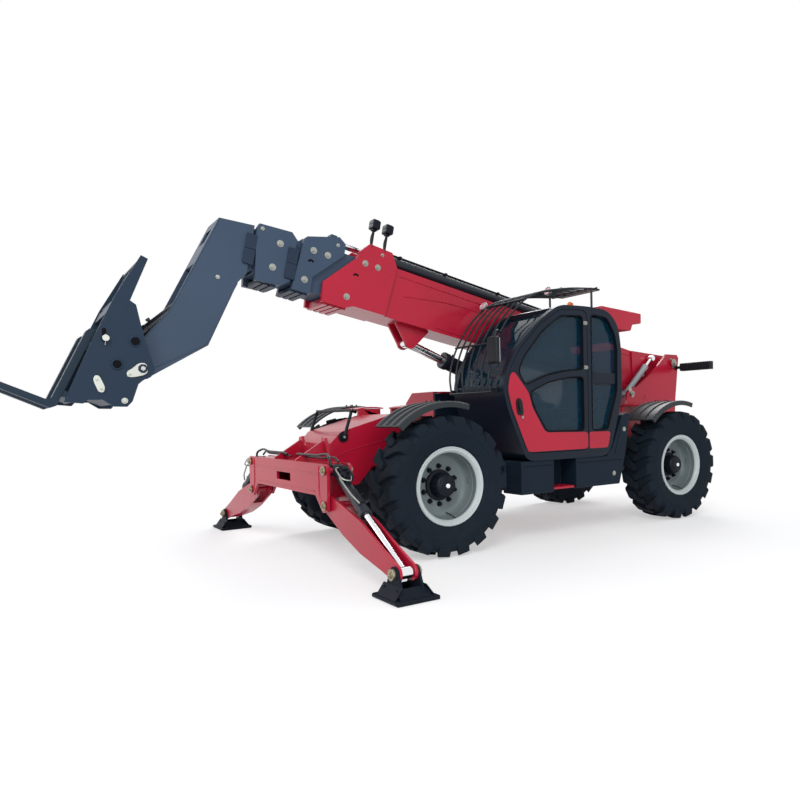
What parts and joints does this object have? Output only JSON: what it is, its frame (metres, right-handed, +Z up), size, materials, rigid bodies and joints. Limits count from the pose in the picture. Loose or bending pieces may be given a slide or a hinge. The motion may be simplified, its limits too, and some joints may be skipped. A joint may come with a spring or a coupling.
{
  "type": "telehandler",
  "caption": "Four-wheel telehandler with a side cab, a telescoping boom, pallet forks and two front stabiliser legs.",
  "frame": {"origin": "on the ground under the middle of the machine with its boom retracted", "axes": "+X forward, towards the fork tips; +Y to the cab side, the machine's left; +Z up"},
  "size_m": [8.106, 4.31, 3.0827],
  "materials": {
    "red_paint": "gloss",
    "dark_paint": "satin",
    "black_plastic": "matte",
    "rubber": "matte",
    "silver_paint": "satin",
    "chrome": "polished",
    "glass": "gloss",
    "engine_grey": "matte",
    "amber_plastic": "gloss",
    "fork_steel": "satin"
  },
  "bodies": {
    "chassis": {"frame": "red_paint", "stabiliser_beam": "red_paint", "front_axle": "dark_paint", "rear_axle": "dark_paint", "fender_front_left": "black_plastic", "fender_front_right": "black_plastic", "fender_rear_left": "black_plastic", "fender_rear_right": "black_plastic", "cab_shell": "dark_paint", "cab_windscreen": "glass", "cab_glass_quarter": "glass", "cab_glass_right": "glass", "cab_glass_rear": "glass", "cab_interior": "black_plastic", "cab_guard": "black_plastic", "beacon": "amber_plastic", "cab_visor": "red_paint", "cab_skirt": "dark_paint", "cab_step": "red_paint", "engine_pod": "dark_paint", "engine_block": "engine_grey", "rear_lamp_bar": "black_plastic"},
    "steering_front_left": {"knuckle_front_left": "dark_paint"},
    "wheel_front_left": {"rim_front_left": "silver_paint", "tyre_front_left": "rubber"},
    "steering_front_right": {"knuckle_front_right": "dark_paint"},
    "wheel_front_right": {"rim_front_right": "silver_paint", "tyre_front_right": "rubber"},
    "steering_rear_left": {"knuckle_rear_left": "dark_paint"},
    "wheel_rear_left": {"rim_rear_left": "silver_paint", "tyre_rear_left": "rubber"},
    "steering_rear_right": {"knuckle_rear_right": "dark_paint"},
    "wheel_rear_right": {"rim_rear_right": "silver_paint", "tyre_rear_right": "rubber"},
    "door": {"cab_door": "dark_paint", "door_glass": "glass"},
    "hood": {"engine_hood": "red_paint"},
    "boom_base": {"boom_outer": "red_paint", "extension_barrel": "dark_paint"},
    "boom_stage_2": {"boom_second": "dark_paint", "extension_rod": "chrome"},
    "boom_stage_3": {"boom_third": "dark_paint"},
    "boom_stage_4": {"boom_inner": "dark_paint"},
    "fork_carriage": {"carriage": "dark_paint", "fork_left": "fork_steel", "fork_right": "fork_steel"},
    "lift_cylinder": {"lift_barrel": "dark_paint"},
    "lift_piston": {"lift_rod": "chrome"},
    "compensation_cylinder": {"compensation_barrel": "silver_paint"},
    "compensation_piston": {"compensation_rod": "chrome"},
    "tilt_cylinder": {"tilt_barrel": "dark_paint"},
    "tilt_piston": {"tilt_rod": "chrome"},
    "stabiliser_left": {"leg_left": "red_paint"},
    "stabiliser_foot_left": {"foot_left": "dark_paint"},
    "stabiliser_cylinder_left": {"stabiliser_left_barrel": "dark_paint"},
    "stabiliser_piston_left": {"stabiliser_left_rod": "chrome"},
    "stabiliser_right": {"leg_right": "red_paint"},
    "stabiliser_foot_right": {"foot_right": "dark_paint"},
    "stabiliser_cylinder_right": {"stabiliser_right_barrel": "dark_paint"},
    "stabiliser_piston_right": {"stabiliser_right_rod": "chrome"}
  },
  "joints": [
    {"name": "steer_front_left", "type": "hinge", "parent": "chassis", "child": "steering_front_left", "pos_m": [0.13049, 0.72, 0.615], "axis": [0, 0, 1], "range_deg": [-25, 25]},
    {"name": "roll_front_left", "type": "hinge", "parent": "steering_front_left", "child": "wheel_front_left", "pos_m": [0.13049, 0.922, 0.615], "axis": [0, 1, 0], "continuous": true},
    {"name": "steer_front_right", "type": "hinge", "parent": "chassis", "child": "steering_front_right", "pos_m": [0.13049, -0.72, 0.615], "axis": [0, 0, 1], "range_deg": [-25, 25]},
    {"name": "roll_front_right", "type": "hinge", "parent": "steering_front_right", "child": "wheel_front_right", "pos_m": [0.13049, -0.922, 0.615], "axis": [0, 1, 0], "continuous": true},
    {"name": "steer_rear_left", "type": "hinge", "parent": "chassis", "child": "steering_rear_left", "pos_m": [-3.03651, 0.72, 0.615], "axis": [0, 0, 1], "range_deg": [-25, 25]},
    {"name": "roll_rear_left", "type": "hinge", "parent": "steering_rear_left", "child": "wheel_rear_left", "pos_m": [-3.03651, 0.922, 0.615], "axis": [0, 1, 0], "continuous": true},
    {"name": "steer_rear_right", "type": "hinge", "parent": "chassis", "child": "steering_rear_right", "pos_m": [-3.03651, -0.72, 0.615], "axis": [0, 0, 1], "range_deg": [-25, 25]},
    {"name": "roll_rear_right", "type": "hinge", "parent": "steering_rear_right", "child": "wheel_rear_right", "pos_m": [-3.03651, -0.922, 0.615], "axis": [0, 1, 0], "continuous": true},
    {"name": "door_hinge", "type": "hinge", "parent": "chassis", "child": "door", "pos_m": [-1.55801, 1.09, 1.5], "axis": [0, 0, 1], "range_deg": [0, 85]},
    {"name": "hood_hinge", "type": "hinge", "parent": "chassis", "child": "hood", "pos_m": [-1.45301, -0.4, 1.5], "axis": [-1, 0, 0], "range_deg": [0, 60]},
    {"name": "boom_lift", "type": "hinge", "parent": "chassis", "child": "boom_base", "pos_m": [-3.83301, 0, 1.86], "axis": [0, -1, 0], "range_deg": [-11, 54]},
    {"name": "extend_stage_2", "type": "slide", "parent": "boom_base", "child": "boom_stage_2", "axis": [0.9816, 0, 0.1908], "range_m": [0, 3.2]},
    {"name": "extend_stage_3", "type": "slide", "parent": "boom_stage_2", "child": "boom_stage_3", "axis": [0.9816, 0, 0.1908], "range_m": [0, 3.2]},
    {"name": "extend_stage_4", "type": "slide", "parent": "boom_stage_3", "child": "boom_stage_4", "axis": [0.9816, 0, 0.1908], "range_m": [0, 3.2]},
    {"name": "carriage_tilt", "type": "hinge", "parent": "boom_stage_4", "child": "fork_carriage", "pos_m": [2.38401, 0, 1.61476], "axis": [0, 1, 0], "range_deg": [-5, 85]},
    {"name": "lift_swing", "type": "hinge", "parent": "chassis", "child": "lift_cylinder", "pos_m": [-3.23301, 0, 0.82], "axis": [0, -1, 0], "range_deg": [-12.34, 52.76]},
    {"name": "lift_stroke", "type": "slide", "parent": "lift_cylinder", "child": "lift_piston", "axis": [0.9392, 0, 0.3432], "range_m": [-0.2404, 1.141]},
    {"name": "compensation_swing", "type": "hinge", "parent": "chassis", "child": "compensation_cylinder", "pos_m": [-3.05301, 0.26, 1.46], "axis": [0, -1, 0], "range_deg": [-6.59, 2.94]},
    {"name": "compensation_stroke", "type": "slide", "parent": "compensation_cylinder", "child": "compensation_piston", "axis": [-0.7365, 0, 0.6765], "range_m": [-0.0604, 0.2574]},
    {"name": "tilt_swing", "type": "hinge", "parent": "boom_stage_4", "child": "tilt_cylinder", "pos_m": [1.76774, 0, 2.40061], "axis": [0, -1, 0], "range_deg": [-3.27, 2.08]},
    {"name": "tilt_stroke", "type": "slide", "parent": "tilt_cylinder", "child": "tilt_piston", "axis": [0.7479, 0, -0.6638], "range_m": [-0.0264, 0.2882]},
    {"name": "stabiliser_fold_left", "type": "hinge", "parent": "chassis", "child": "stabiliser_left", "pos_m": [1.09699, 0.907, 0.528], "axis": [1, 0, 0], "range_deg": [-6, 78]},
    {"name": "foot_pivot_left", "type": "hinge", "parent": "stabiliser_left", "child": "stabiliser_foot_left", "pos_m": [1.09699, 1.97, 0.17], "axis": [1, 0, 0], "range_deg": [-25, 25]},
    {"name": "stabiliser_swing_left", "type": "hinge", "parent": "chassis", "child": "stabiliser_cylinder_left", "pos_m": [1.09699, 0.907, 0.808], "axis": [1, 0, 0], "range_deg": [-8.15, 81.95]},
    {"name": "stabiliser_stroke_left", "type": "slide", "parent": "stabiliser_cylinder_left", "child": "stabiliser_piston_left", "axis": [0, 0.8574, -0.5146], "range_m": [-0.3571, 0.0367]},
    {"name": "stabiliser_fold_right", "type": "hinge", "parent": "chassis", "child": "stabiliser_right", "pos_m": [1.09699, -0.907, 0.528], "axis": [-1, 0, 0], "range_deg": [-6, 78]},
    {"name": "foot_pivot_right", "type": "hinge", "parent": "stabiliser_right", "child": "stabiliser_foot_right", "pos_m": [1.09699, -1.97, 0.17], "axis": [1, 0, 0], "range_deg": [-25, 25]},
    {"name": "stabiliser_swing_right", "type": "hinge", "parent": "chassis", "child": "stabiliser_cylinder_right", "pos_m": [1.09699, -0.907, 0.808], "axis": [-1, 0, 0], "range_deg": [-8.15, 81.95]},
    {"name": "stabiliser_stroke_right", "type": "slide", "parent": "stabiliser_cylinder_right", "child": "stabiliser_piston_right", "axis": [0, -0.8574, -0.5146], "range_m": [-0.3571, 0.0367]}
  ],
  "couplings": [
    {"joint": "steer_front_right", "follows": "steer_front_left", "ratio": 1},
    {"joint": "steer_rear_right", "follows": "steer_rear_left", "ratio": 1},
    {"joint": "extend_stage_3", "follows": "extend_stage_2", "ratio": 1},
    {"joint": "extend_stage_4", "follows": "extend_stage_2", "ratio": 1},
    {"joint": "lift_swing", "follows": "boom_lift", "ratio": 0.94},
    {"joint": "lift_stroke", "follows": "boom_lift", "m_per_rad": 1.2},
    {"joint": "compensation_swing", "follows": "boom_lift", "ratio": -0.085},
    {"joint": "compensation_stroke", "follows": "boom_lift", "m_per_rad": 0.2625},
    {"joint": "tilt_swing", "follows": "carriage_tilt", "ratio": -0.015},
    {"joint": "tilt_stroke", "follows": "carriage_tilt", "m_per_rad": 0.1875},
    {"joint": "stabiliser_swing_left", "follows": "stabiliser_fold_left", "ratio": 1.025},
    {"joint": "stabiliser_stroke_left", "follows": "stabiliser_fold_left", "m_per_rad": -0.255},
    {"joint": "stabiliser_swing_right", "follows": "stabiliser_fold_right", "ratio": 1.025},
    {"joint": "stabiliser_stroke_right", "follows": "stabiliser_fold_right", "m_per_rad": -0.255}
  ]
}
